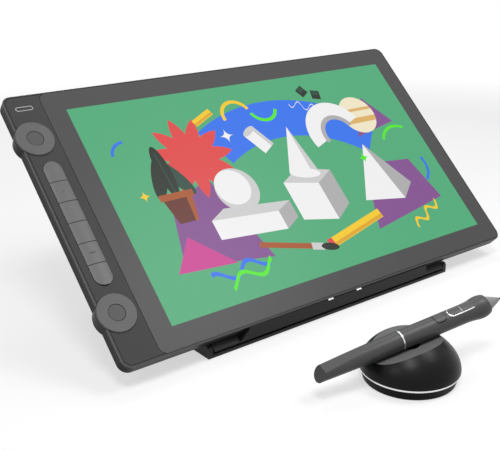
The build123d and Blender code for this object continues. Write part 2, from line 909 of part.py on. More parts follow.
# Backlight: a tray with a rim, and a light guide sunk into it
with BuildPart() as backlight:
    with BuildSketch(level(backlight_low)):
        with Locations((glass_shift, 0)):
            Rectangle(panel_width, panel_height)
    extrude(amount=backlight_thick)
    with BuildSketch(level(display_low)):
        with Locations((glass_shift, 0)):
            Rectangle(panel_width - 2 * backlight_rim, panel_height - 2 * backlight_rim)
    extrude(amount=-backlight_rim_step, mode=Mode.SUBTRACT)
finish(backlight.part, "backlight")

# Digitizer sheet that senses the pen
with BuildPart() as digitizer_sheet:
    with BuildSketch(level(frame_low)):
        with Locations((glass_shift, 0)):
            Rectangle(panel_width, panel_height)
    extrude(amount=digitizer_thick)
finish(digitizer_sheet.part, "digitizer_sheet")

# Shield plate under the frame, with a slot for the display's cable
slot_start = main_right + ribbon_lap - ribbon_slot_gap
slot_length = ribbon_ramp + ribbon_lap + 2 * ribbon_slot_gap
with BuildPart() as shield_plate:
    with BuildSketch(level(shield_low)):
        with Locations((glass_shift, 0)):
            Rectangle(bay_width + 2 * shield_margin, bay_height + 2 * shield_margin)
        with Locations((slot_start + slot_length / 2, ribbon_place)):
            Rectangle(slot_length, ribbon_width + 2 * ribbon_slot_gap, mode=Mode.SUBTRACT)
    extrude(amount=shield_thick)
finish(shield_plate.part, "shield_plate")

# Control strip: a dark plate with openings for the dials and the keys
with BuildPart() as control_panel:
    with BuildSketch(level(strip_low)):
        strip_outline(strip_gap, strip_gap)
        with Locations(*dials):
            Circle(well_radius, mode=Mode.SUBTRACT)
        with Locations((control_x, 0)):
            SlotOverall(key_column + 2 * key_gap, key_width + 2 * key_gap, 90, mode=Mode.SUBTRACT)
        with Locations((control_x, pill_y)):
            SlotOverall(pill_length, pill_width, mode=Mode.SUBTRACT)
    extrude(amount=strip_thick)
finish(control_panel.part, "control_panel")

# Bright outline round the pill key
with BuildPart() as pill_ring:
    with BuildSketch(level(tablet_thick - pill_ring_depth)):
        with Locations((control_x, pill_y)):
            SlotOverall(pill_length - 2 * seat_clearance, pill_width - 2 * seat_clearance)
            SlotOverall(
                pill_length - 2 * pill_ring_wall, pill_width - 2 * pill_ring_wall, mode=Mode.SUBTRACT
            )
    extrude(amount=pill_ring_depth + pill_ring_proud)
finish(pill_ring.part, "pill_ring")

# Pill key: cap, flange under the strip, and stem
pill_seat = strip_low - pill_flange_gap
pill_inset = 2 * pill_ring_wall + 2 * pill_gap
with BuildPart() as pill_key:
    with BuildSketch(level(pill_seat)):
        with Locations((control_x, pill_y)):
            SlotOverall(pill_length - pill_inset, pill_width - pill_inset)
    extrude(amount=tablet_thick - pill_seat)
    with BuildSketch(level(pill_seat)):
        with Locations((control_x, pill_y)):
            SlotOverall(pill_length + 2 * pill_flange, pill_width + 2 * pill_flange)
    extrude(amount=-pill_flange_thick)
    with BuildSketch(level(pill_seat - pill_flange_thick)):
        with Locations((control_x, pill_y)):
            Circle(pill_stem_radius)
    extrude(amount=-pill_stem_length)
finish(pill_key.part, "pill_key")

# Six keys: one crowned bar with round ends, cut into separate keys. Two of them have small
# marks for a thumb: a dot on one and a dash on another
crest = tablet_thick + key_proud + key_crown
key_marks = {2: key_dot_length, 5: key_dash_length}
mark_round = key_mark_width / 2 - seat_clearance
for number, y in enumerate(key_ys, start=1):
    with BuildPart() as key:
        with BuildSketch(across(y - key_pitch / 2, control_x)):
            with BuildLine():
                ThreePointArc(
                    (-key_width / 2, crest - key_crown), (0, crest), (key_width / 2, crest - key_crown)
                )
                Polyline(
                    (key_width / 2, crest - key_crown),
                    (key_width / 2, key_low),
                    (-key_width / 2, key_low),
                    (-key_width / 2, crest - key_crown),
                )
            make_face()
        extrude(amount=-key_pitch)
        with BuildSketch(level(0)):
            with Locations((control_x, 0)):
                SlotOverall(key_column - key_gap, key_width, 90)
            with Locations((control_x, y)):
                Rectangle(key_width, key_pitch - key_gap, mode=Mode.INTERSECT)
        extrude(amount=2 * tablet_thick, mode=Mode.INTERSECT)
        # A flange under the strip keeps the key from falling out
        with BuildSketch(level(key_low)):
            with Locations((control_x, 0)):
                SlotOverall(key_column + 2 * key_flange, key_width + 2 * key_flange, 90)
            with Locations((control_x, y)):
                Rectangle(key_width + 2 * key_flange, key_pitch - key_gap, mode=Mode.INTERSECT)
        extrude(amount=key_flange_thick)
        if number in key_marks:
            with BuildSketch(level(crest - mark_depth)):
                with Locations((control_x, y)):
                    RectangleRounded(key_marks[number], key_mark_width, mark_round)
            extrude(amount=2 * mark_depth, mode=Mode.SUBTRACT)
    finish(key.part, f"key_{number}")

# Control board, with a switch under the pill key
with BuildPart() as control_board:
    with BuildSketch(level(control_board_low)):
        with Locations((control_x, 0)):
            Rectangle(control_board_width, control_board_length)
    extrude(amount=board_thick)
    pill_switch_top = pill_seat - pill_flange_thick - pill_stem_length - pill_travel - switch_gap
    with BuildSketch(level(control_board_top)):
        with Locations((control_x, pill_y)):
            Circle(switch_radius)
    extrude(amount=pill_switch_top - control_board_top)
finish(control_board.part, "control_board")

# Silicone mat with a dome under each key
with BuildPart() as key_mat:
    with BuildSketch(level(control_board_top)):
        with Locations((control_x, 0)):
            Rectangle(key_width + 2 * key_flange, key_column + 2 * mat_margin)
    extrude(amount=mat_thick)
    for y in key_ys:
        with BuildSketch(level(control_board_top + mat_thick)):
            with Locations((control_x, y)):
                Circle(dome_radius)
        with BuildSketch(level(control_board_top + mat_thick + dome_rise)):
            with Locations((control_x, y)):
                Circle(dome_top_radius)
        loft()
finish(key_mat.part, "key_mat")

# Dials: a turning disc with a skirt, a button in its middle, and an encoder under it
dial_low = strip_low + dial_gap
dial_top = tablet_thick + dial_proud
encoder_top = dial_low - skirt_length - encoder_gap
button_low = dial_low - button_flange_gap - button_flange_thick
dial_switch_top = button_low - button_stem_length - button_travel - switch_gap
for name, place in zip(("dial_upper", "dial_lower"), dials):
    with BuildPart() as dial:
        with BuildSketch(level(dial_low)):
            with Locations(place):
                Circle(dial_radius)
                Circle(button_radius + button_gap, mode=Mode.SUBTRACT)
        extrude(amount=dial_top - dial_low)
        chamfer(dial.edges().group_by(out_of_slope)[-1].sort_by(SortBy.LENGTH)[-1], dial_edge)
        with BuildSketch(level(dial_low)):
            with Locations(place):
                Circle(skirt_outer)
                Circle(skirt_inner, mode=Mode.SUBTRACT)
        extrude(amount=-skirt_length)
    finish(dial.part, name)

    with BuildPart() as button:
        with BuildSketch(level(button_low)):
            with Locations(place):
                Circle(button_radius)
        extrude(amount=dial_top - button_recess - button_low)
        chamfer(button.edges().group_by(out_of_slope)[-1], button_edge)
        with BuildSketch(level(button_low)):
            with Locations(place):
                Circle(button_flange_radius)
        extrude(amount=button_flange_thick)
        with BuildSketch(level(button_low)):
            with Locations(place):
                Circle(button_stem)
        extrude(amount=-button_stem_length)
    finish(button.part, f"{name}_button")

    with BuildPart() as encoder:
        with BuildSketch(level(control_board_top)):
            with Locations(place):
                Circle(encoder_radius)
        extrude(amount=encoder_top - control_board_top)
        with BuildSketch(level(control_board_top + encoder_floor)):
            with Locations(place):
                Circle(encoder_hole)
        extrude(amount=encoder_top - control_board_top, mode=Mode.SUBTRACT)
        with BuildSketch(level(control_board_top + encoder_floor)):
            with Locations(place):
                Circle(switch_radius)
        extrude(amount=dial_switch_top - control_board_top - encoder_floor)
    finish(encoder.part, f"{name}_encoder")

# Main board: chips on its underside, and the power key's switch on top
power_key_back = tablet_end - case_wall - power_key_body
with BuildPart() as main_board:
    with BuildSketch(level(main_board_low)):
        with Locations((main_board_x, main_board_y)):
            Rectangle(main_board_width, main_board_height)
    extrude(amount=board_thick)
    for (x_share, y_share), share in zip(chip_place_shares, chip_size_shares):
        chip_x = main_board_x + x_share * main_board_width / 2
        chip_y = main_board_y + y_share * main_board_height / 2
        with BuildSketch(level(main_board_low)):
            with Locations((chip_x, chip_y)):
                Rectangle(share * chip_size, share * chip_size)
        extrude(amount=-chip_thick)
    with BuildSketch(across(power_key_back - power_key_travel - switch_gap)):
        with Locations((power_key_x, port_level)):
            Rectangle(power_switch, 2 * (port_level - main_board_top))
    extrude(amount=power_switch)
finish(main_board.part, "main_board")

# Two flat cables: from the controls to the main board, and on to the display
with BuildPart() as ribbon_cables:
    controls_right = control_x + control_board_width / 2
    lying = main_board_top + ribbon_thick
    routes = (
        (
            (controls_right - ribbon_lap, control_board_low),
            (controls_right - ribbon_ramp, control_board_low),
            (controls_right, lying),
            (main_left + ribbon_lap, lying),
        ),
        (
            (main_right - ribbon_lap, lying),
            (main_right + ribbon_lap, lying),
            (main_right + ribbon_lap + ribbon_ramp, frame_low),
            (main_right + 2 * ribbon_lap + ribbon_ramp, frame_low),
        ),
    )
    for route in routes:
        underside = [(x, height - ribbon_thick) for x, height in reversed(route)]
        with BuildSketch(across(ribbon_place + ribbon_width / 2)):
            with BuildLine():
                Polyline(*route, *underside, close=True)
            make_face()
        extrude(amount=ribbon_width)
finish(ribbon_cables.part, "ribbon_cables")

# Two USB-C sockets: oval metal shells, each with a tongue
with BuildPart() as usb_sockets:
    mouth = tablet_end - socket_inset
    socket_centres = [(x, port_level) for x in socket_xs]
    with BuildSketch(across(mouth)):
        with Locations(*socket_centres):
            SlotOverall(socket_width, socket_height)
    extrude(amount=socket_depth)
    with BuildSketch(across(mouth)):
        with Locations(*socket_centres):
            SlotOverall(socket_width - 2 * socket_wall, socket_height - 2 * socket_wall)
    extrude(amount=socket_depth - socket_back, mode=Mode.SUBTRACT)
    with BuildSketch(across(mouth - socket_tongue_inset)):
        with Locations(*socket_centres):
            Rectangle(socket_tongue_width, socket_tongue)
    extrude(amount=socket_depth - socket_tongue_inset)
finish(usb_sockets.part, "usb_sockets")

# Power key in the top edge, with a flange inside the wall
with BuildPart() as power_key:
    with BuildSketch(across(tablet_end + power_key_proud)):
        with Locations((power_key_x, port_level)):
            SlotOverall(power_key_length, power_key_height)
    extrude(amount=power_key_proud + case_wall + power_key_body)
    with BuildSketch(across(tablet_end - case_wall - power_key_gap)):
        with Locations((power_key_x, port_level)):
            Rectangle(power_key_length + 2 * power_key_flange, power_key_height)
    extrude(amount=power_key_flange_thick)
finish(power_key.part, "power_key")

# Pen holder: places that its pieces share
holder_y = base_front - holder_ahead
holder_middle = Plane(origin=(holder_x, holder_y, 0), x_dir=(1, 0, 0), z_dir=(0, 0, 1))
holder_side = Plane(origin=(holder_x, holder_y, 0), x_dir=(1, 0, 0), z_dir=(0, -1, 0))
holder_axis = Axis((holder_x, holder_y, 0), (0, 0, 1))
holder_floor_top = holder_lift + holder_floor
holder_inside = holder_foot_radius - holder_wall
dome_low = holder_foot_height + holder_ring_height + dome_gap_height

# Foot of the holder: a flared cup with a middle post that the dome turns on
with BuildPart() as holder_foot:
    with BuildSketch(holder_middle.offset(holder_lift)):
        Circle(holder_foot_radius)
    with BuildSketch(holder_middle.offset(holder_foot_height)):
        Circle(holder_ring_radius - holder_foot_step)
    loft()
    with BuildSketch(holder_middle.offset(holder_floor_top)):
        Circle(holder_inside)
        Circle(nib_block_radius, mode=Mode.SUBTRACT)
    extrude(amount=holder_foot_height, mode=Mode.SUBTRACT)
    with BuildSketch(holder_middle.offset(holder_foot_height)):
        Circle(spigot_radius)
    extrude(amount=spigot_top - holder_foot_height)
    with BuildSketch(holder_middle.offset(holder_foot_height)):
        with PolarLocations(nib_ring_radius, spare_nib_count):
            Circle(spare_nib_radius + nib_hole_gap)
    extrude(amount=-nib_hole_depth, mode=Mode.SUBTRACT)
    with BuildSketch(holder_middle.offset(holder_lift)):
        Circle(holder_pad_radius + seat_clearance)
    extrude(amount=holder_pad_recess, mode=Mode.SUBTRACT)
finish(holder_foot.part, "holder_foot")

# Rubber pad under the foot
with BuildPart() as holder_pad:
    with BuildSketch(holder_middle):
        Circle(holder_pad_radius)
    extrude(amount=holder_lift + holder_pad_recess)
finish(holder_pad.part, "holder_pad")

# Steel ring that weighs the holder down
with BuildPart() as holder_weight:
    with BuildSketch(holder_middle.offset(holder_floor_top)):
        Circle(holder_inside - seat_clearance)
        Circle(weight_inner, mode=Mode.SUBTRACT)
    extrude(amount=weight_height)
finish(holder_weight.part, "holder_weight")

# Bright ring between the foot and the dome
with BuildPart() as holder_ring:
    with BuildSketch(holder_middle.offset(holder_foot_height)):
        Circle(holder_ring_radius)
        Circle(holder_ring_radius - holder_ring_wall, mode=Mode.SUBTRACT)
    extrude(amount=holder_ring_height)
finish(holder_ring.part, "holder_ring")

# Spare nibs, standing in the holder's foot
with BuildPart() as spare_nibs:
    with BuildSketch(holder_middle.offset(holder_foot_height - nib_hole_depth)):
        with PolarLocations(nib_ring_radius, spare_nib_count):
            Circle(spare_nib_radius)
    extrude(amount=spare_nib_length)
finish(spare_nibs.part, "spare_nibs")


def steep(v):
    """Turn a direction from level and straight ahead to the pen's pitch and yaw."""
    return v.rotate(Axis.Y, -pen_pitch).rotate(Axis.Z, pen_yaw)


def rolled(v):
    """The same, after rolling the pen about its own axis."""
    return steep(v.rotate(Axis.X, pen_roll))


# Directions of the pen: along it, square to it and up, towards its buttons
pen_ahead = steep(Vector(1, 0, 0))
pen_up = steep(Vector(0, 0, 1))
pen_buttons = rolled(Vector(0, 0, 1))
pen_over = saddle_height + (pen_body_radius + pen_seat_gap) / cos(radians(pen_pitch))
over_holder = Vector(holder_x, holder_y, pen_over)
pen_rear = over_holder - pen_ahead * pen_past_holder
pen_axis = Axis(pen_rear, pen_ahead)
pen_side = Plane(origin=pen_rear, x_dir=pen_ahead, z_dir=rolled(Vector(0, -1, 0)))
pen_top = Plane(origin=pen_rear, x_dir=pen_ahead, z_dir=pen_buttons)

# Dome of the holder: the pen lies in its saddle or stands in its hole
with BuildPart() as holder_dome:
    with BuildSketch(holder_side):
        with BuildLine():
            swell = dome_low + dome_swell_share * (holder_height - dome_low)
            Bezier(
                (holder_dome_radius, dome_low),
                (holder_dome_radius, swell),
                (dome_crest_share * holder_dome_radius, holder_height),
                (0, holder_height),
            )
            Polyline((0, holder_height), (0, dome_low), (holder_dome_radius, dome_low))
        make_face()
    revolve(axis=holder_axis)
    with BuildSketch(holder_side):
        with BuildLine():
            Polyline(
                (dome_bay_inner, 0),
                (dome_bay_inner, dome_bay_top),
                (dome_bay_outer - dome_bay_taper, dome_bay_top),
                (dome_bay_outer, dome_low),
                (dome_bay_outer, 0),
                close=True,
            )
        make_face()
    revolve(axis=holder_axis, mode=Mode.SUBTRACT)
    with BuildSketch(holder_middle):
        Circle(spigot_radius + pin_clearance)
    extrude(amount=spigot_top + dome_gap_height, mode=Mode.SUBTRACT)
    with BuildSketch(holder_middle.offset(pen_hole_bottom)):
        Circle(pen_hole_radius)
    extrude(amount=holder_height, mode=Mode.SUBTRACT)
    saddle_middle = over_holder + pen_up * (saddle_radius - pen_body_radius - pen_seat_gap)
    with BuildSketch(Plane(origin=saddle_middle, z_dir=pen_ahead)):
        Circle(saddle_radius)
    extrude(amount=2 * holder_dome_radius, both=True, mode=Mode.SUBTRACT)
finish(holder_dome.part, "holder_dome")

# Pen: sizes that its pieces share
tail_bore = pen_tail_mid_radius - pen_wall
grip_bore = pen_body_radius - pen_wall
spigot_outer = grip_bore - seat_clearance
grip_start = pen_ring_place + pen_ring_width
rocker_middle = (rocker_start + rocker_end) / 2
tail_tan = tan(radians(tail_cut_angle))

# Tail of the pen: it swells towards the ring, has a flat on top and a slanted end
with BuildPart() as pen_tail:
    with BuildSketch(pen_side):
        with BuildLine():
            ThreePointArc(
                (0, pen_tail_radius), (pen_tail_mid, pen_tail_mid_radius), (pen_tail_full, pen_body_radius)
            )
            Polyline(
                (pen_tail_full, pen_body_radius),
                (pen_ring_place, pen_body_radius),
                (pen_ring_place, spigot_outer),
                (pen_ring_place + pen_spigot_length, spigot_outer),
                (pen_ring_place + pen_spigot_length, tail_bore),
                (pen_tail_mid, tail_bore),
                (pen_tail_mid, 0),
                (-pen_tail_radius * tail_tan, 0),
                (-pen_tail_radius * tail_tan, pen_tail_radius),
                (0, pen_tail_radius),
            )
        make_face()
    revolve(axis=pen_axis)
    with BuildSketch(pen_side):
        with BuildLine():
            Polyline(
                (2 * pen_tail_radius * tail_tan, 2 * pen_tail_radius),
                (-2 * pen_tail_radius * tail_tan, -2 * pen_tail_radius),
                (-2 * pen_tail_radius, -2 * pen_tail_radius),
                (-2 * pen_tail_radius, 2 * pen_tail_radius),
                close=True,
            )
        make_face()
        with BuildLine():
            facet_climb = (pen_body_radius - facet_depth) / facet_length
            Polyline(
                (-2 * pen_tail_radius, facet_depth - 2 * pen_tail_radius * facet_climb),
                (facet_length, pen_body_radius),
                (facet_length, 2 * pen_tail_radius),
                (-2 * pen_tail_radius, 2 * pen_tail_radius),
                close=True,
            )
        make_face()
    extrude(amount=2 * pen_tail_radius, both=True, mode=Mode.SUBTRACT)
finish(pen_tail.part, "pen_tail")

# Bright ring round the pen
with BuildPart() as pen_ring:
    with BuildSketch(Plane(origin=pen_rear + pen_ahead * pen_ring_place, z_dir=pen_ahead)):
        Circle(pen_body_radius + pen_ring_proud)
        Circle(grip_bore, mode=Mode.SUBTRACT)
    extrude(amount=pen_ring_width)
finish(pen_ring.part, "pen_ring")


def grip_section(grow):
    """Half section of the grip, grown outwards, for the current sketch."""
    nose_run = (nose_end - nose_bend, nose_end_radius - nose_bend_radius)
    with BuildLine() as outline:
        Polyline(
            (nose_end, nose_end_radius + grow),
            (nose_end, 0),
            (grip_start, 0),
            (grip_start, pen_body_radius + grow),
            (pen_neck, pen_body_radius + grow),
        )
        Spline(
            (pen_neck, pen_body_radius + grow),
            (pen_swell, pen_swell_radius + grow),
            (pen_flare, pen_flare_radius + grow),
            (pen_shoulder, pen_shoulder_radius + grow),
            (nose_bend, nose_bend_radius + grow),
            (nose_end, nose_end_radius + grow),
            tangents=((1, 0), nose_run),
        )
    make_face(outline.edges())


def seam_side(way):
    """Outline of what lies ahead of the slanted seam (way 1) or behind it (way -1)."""
    reach = 2 * pen_flare_radius
    shift = reach * tan(radians(seam_tilt))
    with BuildLine() as outline:
        Polyline(
            (seam_middle - shift, reach),
            (seam_middle + shift, -reach),
            (seam_middle + 2 * way * reach, -reach),
            (seam_middle + 2 * way * reach, reach),
            close=True,
        )
    make_face(outline.edges())


def rocker_outline(grow, mode=Mode.ADD):
    """Outline of the rocker, grown by a gap, for the current sketch: its front end is square."""
    rear = rocker_start + rocker_half_width
    front = rocker_end + min(grow, rocker_gap)
    with Locations((rear, 0)):
        Circle(rocker_half_width + grow, mode=mode)
    with Locations(((rear + front) / 2, 0)):
        Rectangle(front - rear, 2 * (rocker_half_width + grow), mode=mode)


def button_outline(grow):
    """Outline of the pen's button, grown by a gap, for the current sketch."""
    with Locations((pen_button_place, 0)):
        RectangleRounded(
            pen_button_length + 2 * grow, 2 * (pen_button_half_width + grow), pen_button_corner + grow
        )


# Grip of the pen: it flares before its blunt nose, which a slanted seam parts from the
# cone, and its top has two openings
with BuildPart() as pen_grip:
    with BuildSketch(pen_side):
        grip_section(0)
    revolve(axis=pen_axis)
    with BuildSketch(Plane(origin=pen_rear + pen_ahead * grip_start, z_dir=pen_ahead)):
        Circle(grip_bore)
    extrude(amount=nose_bore_start - grip_start, mode=Mode.SUBTRACT)
    with BuildSketch(Plane(origin=pen_rear + pen_ahead * grip_start, z_dir=pen_ahead)):
        Circle(nose_bore_radius)
    extrude(amount=pen_length, mode=Mode.SUBTRACT)
    with BuildSketch(pen_side):
        seam_side(1)
    extrude(amount=2 * pen_flare_radius, both=True, mode=Mode.SUBTRACT)
    with BuildSketch(pen_top):
        rocker_outline(rocker_gap + rocker_frame_wall + seat_clearance)
        button_outline(pen_button_gap)
    extrude(amount=2 * pen_flare_radius, mode=Mode.SUBTRACT)
finish(pen_grip.part, "pen_grip")

# Rocker with two switches, with a groove between them
with BuildPart() as pen_rocker:
    with BuildSketch(pen_top.offset(rocker_seat)):
        rocker_outline(0)
    extrude(amount=pen_flare_radius)
    with BuildSketch(pen_side):
        grip_section(rocker_proud)
    revolve(axis=pen_axis, mode=Mode.INTERSECT)
    with BuildSketch(pen_top.offset(rocker_inlay_seat)):
        with Locations((rocker_middle, 0)):
            Rectangle(rocker_inlay_width + 2 * seat_clearance, 2 * (rocker_inlay_half + seat_clearance))
    extrude(amount=pen_body_radius, mode=Mode.SUBTRACT)
finish(pen_rocker.part, "pen_rocker")

# Bright inlay in the rocker's groove
with BuildPart() as pen_rocker_inlay:
    with BuildSketch(pen_top.offset(rocker_inlay_seat)):
        with Locations((rocker_middle, 0)):
            Rectangle(rocker_inlay_width, 2 * rocker_inlay_half)
    extrude(amount=pen_flare_radius)
    with BuildSketch(pen_side):
        grip_section(rocker_proud)
    revolve(axis=pen_axis, mode=Mode.INTERSECT)
finish(pen_rocker_inlay.part, "pen_rocker_inlay")

# Bright frame round the rocker, open in front, with the bar that it rocks on
with BuildPart() as pen_rocker_frame:
    with BuildSketch(pen_top.offset(rocker_frame_seat)):
        rocker_outline(rocker_gap + rocker_frame_wall)
        rocker_outline(rocker_gap, mode=Mode.SUBTRACT)
    extrude(amount=pen_flare_radius)
    with BuildSketch(pen_side):
        grip_section(rocker_frame_proud)
    revolve(axis=pen_axis, mode=Mode.INTERSECT)
    with BuildSketch(pen_top.offset(rocker_frame_seat)):
        with Locations((rocker_middle, 0)):
            Rectangle(rocker_bar, 2 * (rocker_half_width + rocker_gap + rocker_frame_wall / 2))
    extrude(amount=rocker_seat - rocker_bar_gap - rocker_frame_seat)
finish(pen_rocker_frame.part, "pen_rocker_frame")

# Separate button behind the rocker
with BuildPart() as pen_button:
    with BuildSketch(pen_top.offset(pen_button_seat)):
        button_outline(0)
    extrude(amount=pen_flare_radius)
    with BuildSketch(pen_side):
        grip_section(pen_button_proud)
    revolve(axis=pen_axis, mode=Mode.INTERSECT)
finish(pen_button.part, "pen_button")

# Cone of the pen, cut along the slanted seam, with a spigot inside the grip's nose and a
# bore for the nib
spigot_rear = Plane(origin=pen_rear + pen_ahead * (nose_bore_start + seat_clearance), z_dir=pen_ahead)
with BuildPart() as pen_cone:
    with BuildSketch(pen_side):
        with BuildLine():
            Polyline(
                (cone_rear, 0),
                (cone_rear, cone_rear_radius),
                (cone_tip, cone_tip_radius),
                (cone_tip, 0),
                close=True,
            )
        make_face()
    revolve(axis=pen_axis)
    with BuildSketch(pen_side):
        seam_side(-1)
    extrude(amount=2 * pen_flare_radius, both=True, mode=Mode.SUBTRACT)
    with BuildSketch(spigot_rear):
        Circle(nose_bore_radius - seat_clearance)
    extrude(amount=seam_middle + nose_bore_radius - nose_bore_start)
    with BuildSketch(spigot_rear):
        Circle(nib_radius + nib_clearance)
    extrude(amount=pen_length, mode=Mode.SUBTRACT)
finish(pen_cone.part, "pen_cone")

# Nib
with BuildPart() as pen_nib:
    with BuildSketch(pen_side):
        with BuildLine():
            Polyline(
                (nib_start, 0),
                (nib_start, nib_radius),
                (nib_neck, nib_radius),
                (pen_length, nib_end_radius),
                (pen_length, 0),
                close=True,
            )
        make_face()
    revolve(axis=pen_axis)
    tip_edge = pen_nib.edges().filter_by(GeomType.CIRCLE).sort_by(pen_axis)[-1]
    fillet(tip_edge, nib_end_round)
finish(pen_nib.part, "pen_nib")

# Circuit board of the pen, with the button's switch
with BuildPart() as pen_board:
    with BuildSketch(pen_top.offset(pen_board_height)):
        with Locations(((pen_board_start + pen_board_end) / 2, 0)):
            Rectangle(pen_board_end - pen_board_start, pen_board_width)
    extrude(amount=pen_board_thick)
    with BuildSketch(pen_top.offset(pen_board_height)):
        with Locations((pen_button_place, 0)):
            Rectangle(pen_switch, pen_switch)
    extrude(amount=pen_button_seat - pen_button_travel - switch_gap - pen_board_height)
finish(pen_board.part, "pen_board")

# Coil former round the nib
with BuildPart() as pen_coil:
    coil_radius = grip_bore - coil_gap
    with BuildSketch(pen_side):
        with BuildLine():
            Polyline(
                (coil_start, coil_core_radius),
                (coil_start, coil_radius),
                (coil_start + coil_cheek, coil_radius),
                (coil_start + coil_cheek, coil_waist),
                (coil_end - coil_cheek, coil_waist),
                (coil_end - coil_cheek, coil_radius),
                (coil_end, coil_radius),
                (coil_end, coil_core_radius),
                close=True,
            )
        make_face()
    revolve(axis=pen_axis)
finish(pen_coil.part, "pen_coil")
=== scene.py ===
import json
from math import atan2, cos, pi, radians, sin, sqrt

import bpy
import numpy as np
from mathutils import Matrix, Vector


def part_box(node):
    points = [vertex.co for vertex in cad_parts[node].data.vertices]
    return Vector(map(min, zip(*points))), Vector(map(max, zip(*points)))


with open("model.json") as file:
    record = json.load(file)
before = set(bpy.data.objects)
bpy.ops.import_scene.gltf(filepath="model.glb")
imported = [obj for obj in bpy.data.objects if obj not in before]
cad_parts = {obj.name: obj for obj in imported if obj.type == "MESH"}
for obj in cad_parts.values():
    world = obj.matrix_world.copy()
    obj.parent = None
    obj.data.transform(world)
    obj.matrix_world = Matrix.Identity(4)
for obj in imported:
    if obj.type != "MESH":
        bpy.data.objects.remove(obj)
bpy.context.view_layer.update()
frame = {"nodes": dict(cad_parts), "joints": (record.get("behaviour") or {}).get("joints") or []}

mm = 0.001


# The viewpoint: a person's eye in front of the tablet's left corner, looking down on it.
# A long, level lens keeps the tablet's edges as straight as the photograph shows them.
camera_azimuth = radians(-38.38)
camera_elevation = radians(19.89)
camera_distance = 750 * mm
lens_mm = 62.5
looked_at = Vector((-29.2, 73.1, 59.6)) * mm


def outward(azimuth, elevation):
    """Direction from the object to a viewer: azimuth 0 is in front, 90 to the right."""
    level = cos(elevation)
    return Vector((sin(azimuth) * level, -cos(azimuth) * level, sin(elevation)))


camera_data = bpy.data.cameras.new("camera")
camera_data.lens = lens_mm
camera = bpy.data.objects.new("camera", camera_data)
bpy.context.scene.collection.objects.link(camera)
away = outward(camera_azimuth, camera_elevation)
camera.location = looked_at + away * camera_distance
camera.rotation_euler = away.to_track_quat("Z", "Y").to_euler()
bpy.context.scene.camera = camera
bpy.context.scene.view_settings.view_transform = "Standard"


# The studio: a white sweep of paper under the object, a pale room round it, and five
# cloth softboxes: three in front of and above it, two behind it to show its back.
def srgb(red, green, blue):
    """Linear colour of a paint whose red, green and blue are given from 0 to 255."""
    parts = np.array((red, green, blue)) / 255
    linear = np.where(parts <= 0.04045, parts / 12.92, ((parts + 0.055) / 1.055) ** 2.4)
    return (*linear.tolist(), 1.0)


def grey(level):
    """A neutral paint."""
    return srgb(level, level, level)


class Wire:
    """A node's output. Sums, products and comparisons of wires add their Math nodes.

    A comparison gives 1 or 0, so a product of two means both, and | gives the larger.
    """

    def __init__(self, finish, socket):
        self.finish = finish
        self.socket = socket

    def math(self, operation, *others):
        """A Math node of this wire and then the others."""
        values = dict(enumerate((self, *others)))
        return self.finish.node("ShaderNodeMath", {"operation": operation}, values)

    def __add__(self, other):
        return self.math("ADD", other)

    def __sub__(self, other):
        return self.math("SUBTRACT", other)

    def __rsub__(self, other):
        return self * -1.0 + other

    def __mul__(self, other):
        return self.math("MULTIPLY", other)

    def __truediv__(self, other):
        return self.math("DIVIDE", other)

    def __lt__(self, other):
        return self.math("LESS_THAN", other)

    def __gt__(self, other):
        return self.math("GREATER_THAN", other)

    def __abs__(self):
        return self.math("ABSOLUTE")

    def __or__(self, other):
        return self.math("MAXIMUM", other)

    __radd__ = __add__
    __rmul__ = __mul__


class Finish:
    """The node tree of a material or of the world, and a short way to add nodes to it."""

    def __init__(self, owner):
        owner.use_nodes = True
        self.owner = owner
        self.tree = owner.node_tree

    def node(self, kind, settings, values, out=0):
        """Add a node. Its settings come first, then its sockets by name or by number."""
        made = self.tree.nodes.new(kind)
        for key, value in settings.items():
            setattr(made, key, value)
        for key, value in values.items():
            self.put(made.inputs[key], value)
        return Wire(self, made.outputs[out])

    def put(self, socket, value):
        """Link a wire to a socket, or set the socket to a number or a colour."""
        if isinstance(value, Wire):
            self.tree.links.new(value.socket, socket)
        else:
            socket.default_value = value

    def mix(self, share, first, second):
        """First colour where share is 0, second where it is 1."""
        settings = {"data_type": "RGBA", "clamp_factor": True}
        return self.node("ShaderNodeMix", settings, {0: share, 6: first, 7: second}, out=2)

    def place(self, middle=(0, 0, 0), turn=(0, 0, 0), unit=mm):
        """Object coordinates about a middle and along turned axes, in a unit of length."""
        here = self.node("ShaderNodeTexCoord", {}, {}, out="Object")
        sockets = {"Vector": here, "Location": middle, "Rotation": turn, "Scale": (unit,) * 3}
        return self.node("ShaderNodeMapping", {"vector_type": "TEXTURE"}, sockets)

    def axes(self, where):
        """The three coordinates of a place, each by itself."""
        first = self.node("ShaderNodeSeparateXYZ", {}, {0: where})
        return [Wire(self, socket) for socket in first.socket.node.outputs]

    def noise(self, where, size, detail=2.0):
        """Soft random grey, from 0 to 1, whose blots are about one size across."""
        sockets = {"Vector": where, "Scale": 1 / size, "Detail": detail}
        return self.node("ShaderNodeTexNoise", {}, sockets)

    def bump(self, height, depth):
        """Normals of a surface raised by height times depth."""
        sockets = {"Height": height, "Distance": depth, "Strength": 1.0}
        return self.node("ShaderNodeBump", {}, sockets)

    def shader(self, **values):
        """Set the Principled shader's sockets; an underscore stands for a space."""
        principled = self.tree.nodes["Principled BSDF"]
        for key, value in values.items():
            self.put(principled.inputs[key.replace("_", " ")], value)
        return Wire(self, principled.outputs[0])


def new_finish(name):
    """An empty finish for a material."""
    return Finish(bpy.data.materials.new(name))


